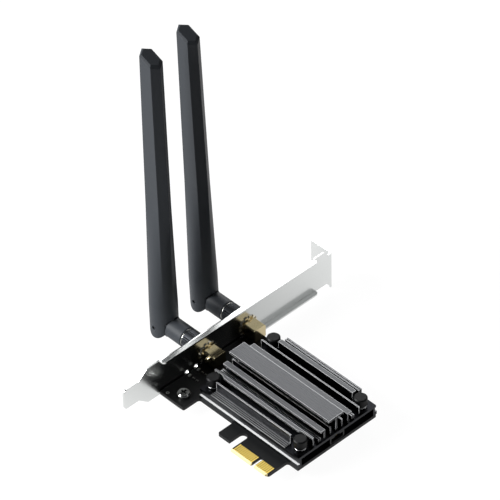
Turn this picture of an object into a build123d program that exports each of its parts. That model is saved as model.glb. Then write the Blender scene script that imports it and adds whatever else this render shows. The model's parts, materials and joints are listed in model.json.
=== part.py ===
from build123d import *
import os
from math import atan2, cos, hypot, pi, radians, sin

# A wireless network card for a computer's expansion slot: a short board with an extruded
# heat sink, a folded bracket, and two antennas that swivel and tilt on their connectors.
# Sizes are in millimetres and angles in degrees.
# X runs along the board from the bracket to the free end, Y from the contact edge up the card,
# and Z out of the component side. The origin lies on the key notch's centre line, at the
# contact edge, midway through the board. Heights called "above the board" start at its top face.

# Board
board_thickness = 1.57
key_to_bracket = 58.53
key_to_free_end = 14.47
board_to_bracket = 0.55
card_height = 56.75
main_edge_y = 11.66
heel_edge_y = 2.81
heel_width = 14.28
locating_tab_width = 6.8
locating_tab_edge_y = 2.93
tab_slot_width = 3.85
tab_slot_top_y = 10.6
tongue_left = 12.6
tongue_right = 8.6
tongue_corner = 1.3
key_width = 1.9
key_top_y = 6.0
bevel_rise = 0.8
bevel_depth = 0.4
board_corner_radius = 0.8
board_inner_radius = 1.2
tooling_hole_diameter = 1.0
tooling_hole_x = -55.03
tooling_hole_y = 4.44

# Edge contacts, on both faces of the tongue
contact_pitch = 1.0
contact_width = 0.7
contact_thickness = 0.05
contact_bottom_y = 0.85
contact_top_y = 4.9
key_to_contact = 1.5
contacts_left = 11
contacts_right = 7

# Bracket
sheet = 0.86
bend_radius = 0.4
bracket_width = 18.42
bracket_tip_y = -16.16
bracket_tip_radius = 1.6
bracket_tip_width = 10.19
bracket_tip_straight = 7.9
bracket_tip_taper = 4.98
bracket_top_y = 103.86
ear_reach = 11.43
ear_width = 19.05
ear_overhang = 3.6
lower_shoulder_drop = 3.1
upper_shoulder_drop = 4.9
shoulder_rise = 2.4
ear_notch_width = 4.42
ear_notch_depth = 5.0
ear_notch_from_end = 5.1
ear_corner_radius = 1.0
flange_reach = 2.4
flange_bottom_y = 4.0
flange_top_y = 93.0
flange_end_radius = 1.4
flange_relief = 1.1
screw_tab_reach = 13.5
screw_tab_width = 10.0
screw_tab_radius = 2.0
fold_straight = 0.1
shoulder_lip = 0.3
relief_step = 0.1
light_hole_diameter = 2.0
light_hole_y = (18.5, 23.6)
light_hole_height = 0.0

# Bracket screw
screw_x = -49.23
screw_y = 8.14
screw_diameter = 3.0
screw_clearance = 0.1
screw_head_diameter = 5.8
screw_head_height = 2.0
screw_head_bevel = 0.6
screw_recess_width = 0.8
screw_recess_span = 3.0
screw_recess_depth = 1.1
screw_point = 1.2

# Heat sink: one profile along X, offsets from its centre line and heights above the board
sink_left_x = -43.53
sink_centre_y = 34.24
sink_width = 44.2
sink_base_bottom = 3.95
sink_base_top = 5.15
sink_wall = 1.0
sink_wall_inset = 0.6
sink_foot_reach = 0.45
sink_foot_height = 1.7
fin_thickness = 0.6
fin_set_back = 0.8
flange_thickness = 0.75
serration_count = 4
serration_pitch = 0.95
serration_width = 0.45
serration_top = 5.7
near_fin_offset = -18.4
near_fin_top = 10.3
near_capped_offset = -13.0
near_cap_edge = -14.4
near_capped_top = 10.0
ridge_offset = 9.0
ridge_pitch = 1.0
ridge_width = 0.45
ridge_top = 7.35
capped_offset = 6.65
cap_edge = 8.75
capped_top = 10.2
inner_fin_offset = 3.3
inner_fin_top = 9.4
web_thickness = 0.8
plateau_width = 8.4
plateau_thickness = 1.0
plateau_top = 13.2
plateau_overhang = 1.0
far_inner_fin_offset = 13.2
far_capped_offset = 16.9
far_cap_edge = 18.7
far_fin_offset = 20.6
far_fin_pitch = 1.15
far_fin_top = 9.0

# Push pins in the heat sink's corner pockets
pin_left_inset = 3.0
pin_right_inset = 4.0
pin_spacing_y = 34.4
pocket_left_length = 6.4
pocket_right_length = 8.2
pocket_edge_offset = 13.6
pocket_radius = 2.0
pin_shaft_diameter = 2.9
pin_clearance = 0.15
pin_head_diameter = 5.8
pin_head_top = 10.5
pin_head_bevel = 0.45
spring_wire = 0.45
spring_outer_diameter = 5.0
spring_height = 1.75
spring_turns = 2.0
spring_steps = 10
spring_tilt_room = 0.09
barb_width = 3.9
barb_depth = 2.2
barb_length = 3.2
barb_tip_width = 1.8
barb_split = 0.7
barb_gap = 0.1

# Radio module under the heat sink
module_x = -14.0
module_y = 34.24
module_length = 16.0
module_width = 12.0
module_thickness = 0.8
can_inset = 0.5
can_height = 1.4
can_wall = 0.2
can_radius = 0.4
radio_chip_size = 7.0
radio_chip_height = 0.9
pad_inset = 0.6

# Header socket in the heat sink's mouth at the free end
header_width = 8.0
header_height = 3.5
header_length = 6.0
header_set_back = 0.3
header_wall = 0.6
header_cavity_depth = 4.6
header_key_width = 2.7
header_pin_count = 4
header_pin_pitch = 1.5
header_pin_size = 0.5
header_pin_length = 3.2
header_fit = 0.02

# Small parts on the board, as length along X, width along Y and height
light_from_bracket = 2.5
light_offset_y = -0.6
light_length = 0.8
light_width = 1.6
light_height = 0.35
light_lens_width = 1.0
light_lens_height = 0.3
resistor_length = 1.0
resistor_width = 0.6
resistor_height = 0.4
resistor_xs = (-53.6, -51.5)
capacitor_length = 1.6
capacitor_width = 0.8
capacitor_height = 0.8
capacitor_x = -33.5
capacitor_pitch = 2.2
capacitor_count = 5
regulator_length = 5.0
regulator_width = 4.0
regulator_height = 1.5
regulator_x = -33.5
regulator_y = 23.5
inductor_size = 4.0
inductor_height = 2.0
inductor_x = -33.5
inductor_y = 45.5
crystal_length = 3.2
crystal_width = 2.5
crystal_height = 0.8
crystal_x = -1.5
crystal_y = 44.0

# Coaxial connectors on the board
connector_near_y = 30.6
connector_far_y = 53.7
connector_axis_height = 3.7
connector_body_size = 6.35
connector_body_length = 6.5
connector_body_chamfer = 0.45
connector_collar_diameter = 7.0
connector_collar_length = 0.5
connector_leg_size = 0.95
connector_leg_spacing = 5.08
connector_leg_length = 1.0
leg_hole_size = 1.1
barrel_diameter = 6.3
barrel_reach = 9.0
barrel_end_chamfer = 0.3
barrel_bore_diameter = 4.4
bracket_hole_clearance = 0.15
insulator_fit = 0.02
insulator_recess = 2.6
centre_pin_diameter = 1.27
centre_pin_tip_diameter = 0.9
centre_pin_recess = 0.5
centre_pin_leg_size = 0.8
centre_pin_bore_diameter = 2.4
washer_thickness = 0.5
washer_outer_diameter = 10.0
washer_tooth_count = 12
washer_tooth_gap = 1.0
washer_tooth_depth = 0.9
hex_nut_across_flats = 8.0
hex_nut_thickness = 2.2
hex_nut_chamfer = 0.5
thread_clearance = 0.06

# Antennas: coupling nut, ferrule and elbow along the connector's axis
coupling_gap = 0.2
coupling_length = 8.6
coupling_diameter = 9.3
coupling_chamfer = 0.5
coupling_lip = 0.8
ferrule_flange_thickness = 1.0
ferrule_flange_clearance = 0.1
ferrule_neck_diameter = 5.4
ferrule_neck_length = 4.6
ferrule_bore_diameter = 4.1
plug_running_clearance = 0.06
plug_insulator_length = 3.0
socket_diameter = 1.9
socket_reach = 1.8
socket_length = 4.6
elbow_gap = 0.35
elbow_diameter = 9.3
elbow_edge_bevel = 0.4
hinge_from_elbow_front = 14.46
tongue_clearance = 0.15
tongue_eye_radius = 3.2
knuckle_clearance = 0.35

# Antennas: hinge and blade, heights from the hinge axis
hinge_pin_diameter = 1.9
hinge_pin_recess = 0.7
hinge_running_clearance = 0.05
hinge_press_gap = 0.01
ear_radius = 5.2
ear_thickness = 2.35
ear_gap = 0.3
blade_height = 141.4
tip_slant = 23.0
tip_bevel = 0.8
foot_radius = 6.15
foot_top = 12.0
neck_top = 64.0
neck_half_width = 3.58
neck_half_depth = 6.57
neck_flat_half = 3.89
tip_half_width = 3.33
tip_half_depth = 5.25
tip_flat_half = 3.1
radiator_width = 5.2
radiator_thickness = 0.8
radiator_length = 104.0
radiator_start = 16.0
radiator_clearance = 0.2
radiator_end_gap = 6.0
swivel_near = 0.3
swivel_far = 1.2
tilt_near = 0.0
tilt_far = 0.4

# Positions that follow from the sizes above
board_top = board_thickness / 2
board_bottom = -board_thickness / 2
bracket_x = -key_to_bracket
board_left = bracket_x + board_to_bracket
bracket_low = board_bottom - sheet
bracket_high = bracket_low + bracket_width
ear_low = bracket_low - ear_overhang
ear_high = ear_low + ear_width
axis_z = board_top + connector_axis_height
connector_ys = (connector_near_y, connector_far_y)
body_front = bracket_x + washer_thickness + connector_collar_length
body_centre = body_front + connector_body_length / 2
barrel_end = bracket_x - sheet - barrel_reach
hex_nut_outer = bracket_x - sheet - hex_nut_thickness
coupling_front = hex_nut_outer - coupling_gap
coupling_rear = coupling_front - coupling_length
elbow_front = coupling_rear - elbow_gap
hinge_x = elbow_front - hinge_from_elbow_front
elbow_shoulder = hinge_x + ear_radius + ear_gap
fork_half_gap = foot_radius - ear_thickness
pin_xs = (sink_left_x + pin_left_inset, key_to_free_end - pin_right_inset)
pin_ys = (sink_centre_y - pin_spacing_y / 2, sink_centre_y + pin_spacing_y / 2)
pin_places = [(x, y) for x in pin_xs for y in pin_ys]


def polygon(*points):
    """A flat face with these corners."""
    return make_face(Polyline(*points, close=True))


def span(a_from, a_to, b_from, b_to):
    """A rectangle between two limits each way."""
    return Pos((a_from + a_to) / 2, (b_from + b_to) / 2) * Rectangle(a_to - a_from, b_to - b_from)


def rounded(face, radius, *points):
    """The face with the corners nearest to these points rounded."""
    corners = [face.vertices().sort_by_distance((a, b, 0))[0] for a, b in points]
    return fillet(corners, radius)


def along_x(profile, x_from, x_to):
    """A profile drawn in Y and Z, carried along X."""
    return extrude(Plane.YZ.offset(x_from) * profile, x_to - x_from)


def along_y(profile, y_from, y_to):
    """A profile drawn in X and Z, carried along Y."""
    return extrude(Plane.XZ.offset(-y_from) * profile, y_from - y_to)


def along_z(profile, z_from, z_to):
    """A profile drawn in X and Y, carried along Z."""
    return extrude(Plane.XY.offset(z_from) * profile, z_to - z_from)


def post(x, y, z_from, z_to, diameter):
    """A round bar along Z."""
    return along_z(Pos(x, y) * Circle(diameter / 2), z_from, z_to)


def rod(x_from, x_to, diameter, y=0.0, z=0.0):
    """A round bar along X."""
    return along_x(Pos(y, z) * Circle(diameter / 2), x_from, x_to)


def turned(*points):
    """A body of revolution round the X axis; each point gives a place along X and a radius."""
    return revolve(polygon(*points), Axis.X)


def chip(x, y, length, width, height):
    """A small block standing on the board."""
    return along_z(Pos(x, y) * Rectangle(length, width), board_top, board_top + height)


def make_board():
    """The board's outline with its slots, bevelled tongue and holes."""
    heel_right = board_left + heel_width
    tab_right = -(tongue_left + tab_slot_width)
    tab_left = tab_right - locating_tab_width
    slot_middle = -(tongue_left + tab_slot_width / 2)
    outline = polygon(
        (board_left, heel_edge_y),
        (heel_right, heel_edge_y),
        (heel_right, main_edge_y),
        (tab_left, main_edge_y),
        (tab_left, locating_tab_edge_y),
        (slot_middle, locating_tab_edge_y),
        (slot_middle, 0),
        (tongue_right - tongue_corner, 0),
        (tongue_right, tongue_corner),
        (tongue_right, main_edge_y),
        (key_to_free_end, main_edge_y),
        (key_to_free_end, card_height),
        (board_left, card_height),
    )
    inner = ((heel_right, main_edge_y), (tab_left, main_edge_y), (tongue_right, main_edge_y))
    outline = rounded(outline, board_inner_radius, *inner)
    outer = ((heel_right, heel_edge_y), (tab_left, locating_tab_edge_y), (key_to_free_end, card_height))
    outline = rounded(outline, board_corner_radius, *outer)
    for middle, width, top in ((slot_middle, tab_slot_width, tab_slot_top_y), (0, key_width, key_top_y)):
        crown = top - width / 2
        outline -= span(middle - width / 2, middle + width / 2, -1, crown)
        outline -= Pos(middle, crown) * Circle(width / 2)
    for x, y in pin_places:
        outline -= Pos(x, y) * Circle(pin_shaft_diameter / 2 + pin_clearance)
    outline -= Pos(screw_x, screw_y) * Circle(screw_diameter / 2 + screw_clearance)
    outline -= Pos(tooling_hole_x, tooling_hole_y) * Circle(tooling_hole_diameter / 2)
    for y in connector_ys:
        for place in GridLocations(connector_leg_spacing, connector_leg_spacing, 2, 2):
            outline -= Pos(body_centre, y) * place * Rectangle(leg_hole_size, leg_hole_size)
        outline -= Pos(body_centre, y) * Rectangle(leg_hole_size, leg_hole_size)
    board = along_z(outline, board_bottom, board_top)
    for side in (1, -1):
        face = side * board_thickness / 2
        tip = polygon((0, face), (bevel_rise, face), (0, face - side * bevel_depth))
        board -= along_x(tip, -tongue_left - 1, tongue_right + 1)
    return board


def make_contacts(side):
    """One face's row of contact strips: side is 1 for the component face and -1 for the other."""
    lefts = [-key_to_contact - contact_pitch * i for i in range(contacts_left)]
    rights = [key_to_contact + contact_pitch * i for i in range(contacts_right)]
    face = side * board_thickness / 2
    half = contact_width / 2
    strips = []
    for x in sorted(lefts + rights):
        strip = span(x - half, x + half, contact_bottom_y, contact_top_y)
        strips.append(along_z(strip, face, face + side * contact_thickness))
    return Compound(strips)


def make_bracket():
    """Folded sheet: a tapered tip, a channel with two flanges, and a bent ear."""
    middle = (bracket_low + bracket_high) / 2
    half_tip = bracket_tip_width / 2
    straight_y = bracket_tip_y + bracket_tip_straight
    full_y = straight_y + bracket_tip_taper
    tip = polygon(
        (bracket_tip_y, middle - half_tip),
        (straight_y, middle - half_tip),
        (full_y, bracket_low),
        (flange_bottom_y, bracket_low),
        (flange_bottom_y, bracket_high),
        (full_y, bracket_high),
        (straight_y, middle + half_tip),
        (bracket_tip_y, middle + half_tip),
    )
    ends = ((bracket_tip_y, middle - half_tip), (bracket_tip_y, middle + half_tip))
    tip = rounded(tip, bracket_tip_radius, *ends)
    lower_y = bracket_top_y - lower_shoulder_drop
    upper_y = bracket_top_y - upper_shoulder_drop
    fold_y = bracket_top_y - sheet - bend_radius - fold_straight
    neck = polygon(
        (flange_top_y, bracket_low),
        (lower_y, bracket_low),
        (fold_y, ear_low + shoulder_lip),
        (fold_y, ear_high),
        (upper_y + shoulder_rise, ear_high),
        (upper_y, bracket_high),
        (flange_top_y, bracket_high),
    )
    outer = bracket_x - sheet
    channel = polygon(
        (outer, bracket_low),
        (bracket_x + flange_reach, bracket_low),
        (bracket_x + flange_reach, bracket_low + sheet),
        (bracket_x, bracket_low + sheet),
        (bracket_x, bracket_high - sheet),
        (bracket_x + flange_reach, bracket_high - sheet),
        (bracket_x + flange_reach, bracket_high),
        (outer, bracket_high),
    )
    channel = rounded(channel, bend_radius + sheet, (outer, bracket_low), (outer, bracket_high))
    inside = ((bracket_x, bracket_low + sheet), (bracket_x, bracket_high - sheet))
    channel = rounded(channel, bend_radius, *inside)
    fold = polygon(
        (bracket_x, fold_y),
        (bracket_x, bracket_top_y),
        (outer - ear_reach, bracket_top_y),
        (outer - ear_reach, bracket_top_y - sheet),
        (outer, bracket_top_y - sheet),
        (outer, fold_y),
    )
    fold = rounded(fold, bend_radius + sheet, (bracket_x, bracket_top_y))
    fold = rounded(fold, bend_radius, (outer, bracket_top_y - sheet))
    ear = along_z(fold, ear_low, ear_high)
    tip_edges = ear.edges().filter_by(Axis.Y).group_by(Axis.X)[0]
    ear = fillet(tip_edges, ear_corner_radius)
    folded = along_y(channel, flange_bottom_y, flange_top_y)
    corners = folded.edges().filter_by(Axis.Z).group_by(Axis.X)[-1]
    folded = fillet(corners, flange_end_radius)
    tab = span(bracket_x + bend_radius, bracket_x + screw_tab_reach, 0, screw_tab_width)
    tab = Pos(0, screw_y - screw_tab_width / 2) * tab
    tab_x = bracket_x + screw_tab_reach
    tab_ys = (screw_y - screw_tab_width / 2, screw_y + screw_tab_width / 2)
    tab = rounded(tab, screw_tab_radius, (tab_x, tab_ys[0]), (tab_x, tab_ys[1]))
    tab -= Pos(screw_x, screw_y) * Circle(screw_diameter / 2 + screw_clearance)
    bracket = along_x(tip, outer, bracket_x) + folded + along_x(neck, outer, bracket_x) + ear
    bracket += along_z(tab, bracket_low, board_bottom)
    for y in connector_ys:
        clear = connector_leg_spacing / 2 + flange_relief
        relief_x = bracket_x + bend_radius + relief_step
        relief = span(relief_x, bracket_x + flange_reach + 1, y - clear, y + clear)
        bracket -= along_z(relief, bracket_low - 1, board_bottom + bend_radius)
        hole = barrel_diameter + 2 * bracket_hole_clearance
        bracket -= rod(outer - 1, bracket_x + 1, hole, y, axis_z)
    for y in light_hole_y:
        bracket -= rod(outer - 1, bracket_x + 1, light_hole_diameter, y, board_top + light_hole_height)
    half_notch = ear_notch_width / 2
    notch_x = outer - ear_reach + ear_notch_from_end
    crown = ear_low + ear_notch_depth - half_notch
    notch = span(notch_x - half_notch, notch_x + half_notch, ear_low - 1, crown)
    notch += Pos(notch_x, crown) * Circle(half_notch)
    return bracket - along_y(notch, bracket_top_y - sheet - 1, bracket_top_y + 1)


def make_bracket_screw():
    """A pan head screw with a cross recess."""
    head = post(screw_x, screw_y, board_top, board_top + screw_head_height, screw_head_diameter)
    head = chamfer(head.edges().sort_by(Axis.Z)[-1], screw_head_bevel)
    top = board_top + screw_head_height
    for length, width in ((screw_recess_span, screw_recess_width), (screw_recess_width, screw_recess_span)):
        head -= along_z(Pos(screw_x, screw_y) * Rectangle(length, width), top - screw_recess_depth, top + 1)
    return head + post(screw_x, screw_y, bracket_low - screw_point, board_top, screw_diameter)


def fin(offset, top, thickness=fin_thickness):
    """One upright of the heat sink's profile, from the base to its top."""
    return span(offset - thickness / 2, offset + thickness / 2, sink_base_bottom, top)


def capped_fin(offset, edge, top):
    """An upright with a flange at its top that reaches out to an edge."""
    ends = sorted((offset - fin_thickness / 2, offset + fin_thickness / 2, edge))
    return fin(offset, top) + span(ends[0], ends[2], top - flange_thickness, top)


def make_heat_sink():
    """An extruded channel with fins, cut back round the push pins."""
    half = sink_width / 2
    profile = span(-half, half, sink_base_bottom, sink_base_top)
    for side in (1, -1):
        outer = half - sink_wall_inset
        wall = sorted((side * outer, side * (outer - sink_wall)))
        profile += span(wall[0], wall[1], 0, sink_base_bottom)
        foot = sorted((side * (half + sink_foot_reach), side * (outer - sink_wall)))
        profile += span(foot[0], foot[1], 0, sink_foot_height)
        profile += fin(side * inner_fin_offset, inner_fin_top)
        profile += capped_fin(side * capped_offset, side * cap_edge, capped_top)
        for i in range(2):
            profile += fin(side * (ridge_offset + ridge_pitch * i), ridge_top, ridge_width)
    for i in range(serration_count):
        offset = -half + serration_width / 2 + serration_pitch * i
        profile += fin(offset, serration_top, serration_width)
    profile += fin(near_fin_offset, near_fin_top)
    profile += capped_fin(near_capped_offset, near_cap_edge, near_capped_top)
    profile += fin(far_inner_fin_offset, inner_fin_top)
    profile += capped_fin(far_capped_offset, far_cap_edge, capped_top)
    for i in range(2):
        profile += fin(far_fin_offset + far_fin_pitch * i, far_fin_top)
    profile += fin(0, plateau_top, web_thickness)
    place = Pos(0, sink_centre_y, board_top)
    sink = place * along_x(profile, sink_left_x, key_to_free_end)
    high = board_top + sink_base_top
    above = span(sink_centre_y - half - 1, sink_centre_y + half + 1, high, high + plateau_top)
    sink -= along_x(above, key_to_free_end - fin_set_back, key_to_free_end + 1)
    for side in (1, -1):
        edges = sorted((side * pocket_edge_offset, side * (half + 2)))
        for x_from, x_to in (
            (sink_left_x - 2 * pocket_radius, sink_left_x + pocket_left_length),
            (key_to_free_end - pocket_right_length, key_to_free_end + 2 * pocket_radius),
        ):
            pocket = span(x_from, x_to, sink_centre_y + edges[0], sink_centre_y + edges[1])
            inner_x = x_to if x_from < sink_left_x else x_from
            pocket = rounded(pocket, pocket_radius, (inner_x, sink_centre_y + side * pocket_edge_offset))
            sink -= along_z(pocket, high, high + plateau_top)
    plateau = span(-plateau_width / 2, plateau_width / 2, plateau_top - plateau_thickness, plateau_top)
    sink += place * along_x(plateau, sink_left_x - plateau_overhang, key_to_free_end - fin_set_back)
    for x, y in pin_places:
        sink -= post(x, y, board_top, high + 1, pin_shaft_diameter + 2 * pin_clearance)
    return sink


def make_push_pin():
    """A round headed pin whose split legs end in a flat arrow, upright at the origin."""
    head_under = board_top + sink_base_top + spring_height
    head_top = board_top + pin_head_top
    barb_top = board_bottom - barb_gap
    head = post(0, 0, head_under, head_top, pin_head_diameter)
    head = chamfer(head.edges().sort_by(Axis.Z)[-1], pin_head_bevel)
    shaft = post(0, 0, barb_top, head_under, pin_shaft_diameter)
    arrow = polygon(
        (-barb_width / 2, barb_top),
        (barb_width / 2, barb_top),
        (barb_tip_width / 2, barb_top - barb_length),
        (-barb_tip_width / 2, barb_top - barb_length),
    )
    pin = head + shaft + along_y(arrow, -barb_depth / 2, barb_depth / 2)
    split_top = (board_bottom + board_top) / 2
    return pin - along_z(Rectangle(barb_split, 2 * barb_width), barb_top - barb_length - 1, split_top)


def make_spring():
    """A short coil of square wire round a pin's shaft, bent in short straight steps, at the origin."""
    rise = spring_height - spring_wire - 2 * spring_tilt_room
    radius = (spring_outer_diameter - spring_wire) / 2
    steps = int(spring_turns * spring_steps)
    ways = [2 * pi * i / spring_steps for i in range(steps + 1)]
    coil = Polyline(*[(radius * cos(a), radius * sin(a), rise * i / steps) for i, a in enumerate(ways)])
    section = Plane(origin=coil @ 0, z_dir=coil % 0) * Rectangle(spring_wire, spring_wire)
    wire = sweep(section, path=coil, transition=Transition.RIGHT)
    return Pos(0, 0, board_top + sink_base_top + spring_wire / 2 + spring_tilt_room) * wire


def make_module():
    """The radio module's carrier, chip and shield can, and the thermal pad above."""
    carrier = chip(module_x, module_y, module_length, module_width, module_thickness)
    deck = board_top + module_thickness
    length = module_length - 2 * can_inset
    width = module_width - 2 * can_inset
    inside = Rectangle(length - 2 * can_wall, width - 2 * can_wall)
    can = along_z(RectangleRounded(length, width, can_radius), deck, deck + can_height)
    can -= along_z(inside, deck, deck + can_height - can_wall)
    radio = along_z(Rectangle(radio_chip_size, radio_chip_size), deck, deck + radio_chip_height)
    pad = Rectangle(length - 2 * pad_inset, width - 2 * pad_inset)
    pad = along_z(pad, deck + can_height, board_top + sink_base_bottom)
    place = Pos(module_x, module_y)
    return carrier, place * can, place * radio, place * pad


def make_header():
    """A side-entry socket open toward the free end, and its row of pins."""
    front = key_to_free_end - header_set_back
    back = front - header_length
    y = sink_centre_y
    low = board_top
    socket = chip((front + back) / 2, y, header_length, header_width, header_height)
    cavity = span(y - header_width / 2 + header_wall, y + header_width / 2 - header_wall,
                  low + header_wall, low + header_height - header_wall)
    socket -= along_x(cavity, front - header_cavity_depth, front + 1)
    half_key = header_key_width / 2
    key_slot = span(y - half_key, y + half_key, low + header_height / 2, low + header_height + 1)
    socket -= along_x(key_slot, front - header_cavity_depth / 2, front + 1)
    middle = low + header_height / 2
    wall_face = front - header_cavity_depth
    pins = []
    for i in range(header_pin_count):
        pin_y = y + (i - (header_pin_count - 1) / 2) * header_pin_pitch
        pins.append(along_x(Pos(pin_y, middle) * Rectangle(header_pin_size, header_pin_size),
                            back, wall_face + header_pin_length))
        hole = header_pin_size + 2 * header_fit
        socket -= along_x(Pos(pin_y, middle) * Rectangle(hole, hole), back - 1, wall_face + 1)
    return socket, Compound(pins)


def make_light(y):
    """A low chip lamp with a raised lens, beside a hole in the bracket at this height."""
    place = (bracket_x + light_from_bracket, y + light_offset_y)
    lamp = chip(*place, light_length, light_width, light_height)
    return lamp + chip(*place, light_length, light_lens_width, light_height + light_lens_height)


def make_connector(y):
    """A right angle coaxial connector on the board: shell, insulator, centre pin, washer and nut."""
    body_low = axis_z - connector_body_size / 2
    body_back = body_front + connector_body_length
    body = along_x(Rectangle(connector_body_size, connector_body_size), body_front, body_back)
    body = chamfer(body.edges().filter_by(Axis.X), connector_body_chamfer)
    body = Pos(0, y, axis_z) * body
    body += rod(bracket_x + washer_thickness, body_front, connector_collar_diameter, y, axis_z)
    barrel = rod(barrel_end, body_front, barrel_diameter)
    barrel = chamfer(barrel.edges().sort_by(Axis.X)[0], barrel_end_chamfer)
    shell = body + Pos(0, y, axis_z) * barrel
    for place in GridLocations(connector_leg_spacing, connector_leg_spacing, 2, 2):
        leg = Pos(body_centre, y) * place * Rectangle(connector_leg_size, connector_leg_size)
        shell += along_z(leg, board_bottom - connector_leg_length, body_low + connector_body_size / 3)
    bore_back = body_centre + centre_pin_bore_diameter / 2
    shell -= rod(barrel_end - 1, bore_back, barrel_bore_diameter, y, axis_z)
    shell -= post(body_centre, y, body_low - 1, axis_z, centre_pin_bore_diameter)
    bush_end = barrel_end + insulator_recess
    bush = rod(bush_end, body_front, barrel_bore_diameter - 2 * insulator_fit, y, axis_z)
    bush -= rod(bush_end - 1, body_front + 1, centre_pin_diameter + 2 * insulator_fit, y, axis_z)
    pin_back = body_centre + centre_pin_leg_size / 2
    pin = rod(bush_end, pin_back, centre_pin_diameter, y, axis_z)
    pin += rod(barrel_end + centre_pin_recess, bush_end, centre_pin_tip_diameter, y, axis_z)
    leg = Pos(body_centre, y) * Rectangle(centre_pin_leg_size, centre_pin_leg_size)
    pin += along_z(leg, board_bottom - connector_leg_length, axis_z)
    washer_face = bracket_x + washer_thickness
    washer = rod(bracket_x, washer_face, washer_outer_diameter)
    gap = Pos(washer_outer_diameter / 2, 0) * Rectangle(2 * washer_tooth_depth, washer_tooth_gap)
    for place in PolarLocations(0, washer_tooth_count):
        washer -= along_x(place * gap, bracket_x - 1, washer_face + 1)
    hole = barrel_diameter + 2 * bracket_hole_clearance
    washer = Pos(0, y, axis_z) * (washer - rod(bracket_x - 1, washer_face + 1, hole))
    nut_inner = bracket_x - sheet
    nut = along_x(RegularPolygon(hex_nut_across_flats / 2, 6, major_radius=False), hex_nut_outer, nut_inner)
    corner = hex_nut_across_flats / 2 / cos(pi / 6)
    nut &= turned(
        (hex_nut_outer, 0),
        (hex_nut_outer, corner - hex_nut_chamfer),
        (hex_nut_outer + hex_nut_chamfer, corner),
        (nut_inner, corner),
        (nut_inner, 0),
    )
    nut -= rod(hex_nut_outer - 1, nut_inner + 1, barrel_diameter + 2 * thread_clearance)
    nut = Pos(0, y, axis_z) * nut
    return shell, bush, pin, washer, nut


def make_plug():
    """The antenna's coupling nut, ferrule, insulator and socket, about the connector's axis."""
    bore = barrel_diameter / 2 + thread_clearance
    lip_face = coupling_rear + coupling_lip
    lip_radius = ferrule_neck_diameter / 2 + plug_running_clearance
    radius = coupling_diameter / 2
    nut = turned(
        (coupling_front, bore),
        (coupling_front, radius - coupling_chamfer),
        (coupling_front - coupling_chamfer, radius),
        (coupling_rear + coupling_chamfer, radius),
        (coupling_rear, radius - coupling_chamfer),
        (coupling_rear, lip_radius),
        (lip_face, lip_radius),
        (lip_face, bore),
    )
    flange_back = lip_face + ferrule_flange_clearance
    flange_front = flange_back + ferrule_flange_thickness
    neck_end = elbow_front - ferrule_neck_length
    ferrule = turned(
        (flange_front, ferrule_bore_diameter / 2),
        (flange_front, barrel_diameter / 2),
        (flange_back, barrel_diameter / 2),
        (flange_back, ferrule_neck_diameter / 2),
        (neck_end, ferrule_neck_diameter / 2),
        (neck_end, ferrule_bore_diameter / 2),
    )
    socket_outer = socket_diameter / 2
    bush_back = flange_front - plug_insulator_length
    bush = turned(
        (flange_front, socket_outer + insulator_fit),
        (flange_front, ferrule_bore_diameter / 2 - insulator_fit),
        (bush_back, ferrule_bore_diameter / 2 - insulator_fit),
        (bush_back, socket_outer + insulator_fit),
    )
    socket_front = flange_front + socket_reach
    socket = rod(socket_front - socket_length, socket_front, socket_diameter)
    pin_way = centre_pin_tip_diameter + 2 * plug_running_clearance
    socket -= rod(flange_front - socket_reach, socket_front + 1, pin_way)
    return nut, ferrule, bush, socket


def make_elbow():
    """A round elbow with a tongue that fits between the blade's ears, on the X axis."""
    radius = elbow_diameter / 2
    half_tongue = fork_half_gap - tongue_clearance
    tube = rod(elbow_shoulder, elbow_front, elbow_diameter)
    tube = chamfer(tube.edges().sort_by(Axis.X)[-1], elbow_edge_bevel)
    bar = span(hinge_x, elbow_shoulder, -tongue_eye_radius, tongue_eye_radius)
    bar += Pos(hinge_x, 0) * Circle(tongue_eye_radius)
    tongue = along_y(bar, -half_tongue, half_tongue)
    elbow = tube + tongue
    socket_diameter_in_elbow = ferrule_neck_diameter + 2 * insulator_fit
    elbow -= rod(elbow_front - ferrule_neck_length, elbow_front + 1, socket_diameter_in_elbow)
    hole = hinge_pin_diameter / 2 + hinge_running_clearance
    return elbow - along_y(Pos(hinge_x, 0) * Circle(hole), -radius, radius)


def hexagon(height, half_depth, half_width, flat_half):
    """The blade's section at a height: flat sides along X, points on the X axis."""
    corners = ((flat_half, half_width), (-flat_half, half_width), (-half_depth, 0))
    opposite = tuple((-x, -y) for x, y in corners)
    return Pos(0, 0, height) * polygon(*corners, *opposite)


def foot_circle(height):
    """The foot's circle in six arcs, which meet where the hexagon above has its corners."""
    first = atan2(neck_half_width, neck_flat_half)
    turns = (first, pi - first, pi, pi + first, 2 * pi - first, 2 * pi, 2 * pi + first)
    arcs = []
    for start, end in zip(turns, turns[1:]):
        ways = (start, (start + end) / 2, end)
        arcs.append(ThreePointArc(*[(foot_radius * cos(a), foot_radius * sin(a)) for a in ways]))
    return Pos(0, 0, height) * make_face(arcs)


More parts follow.
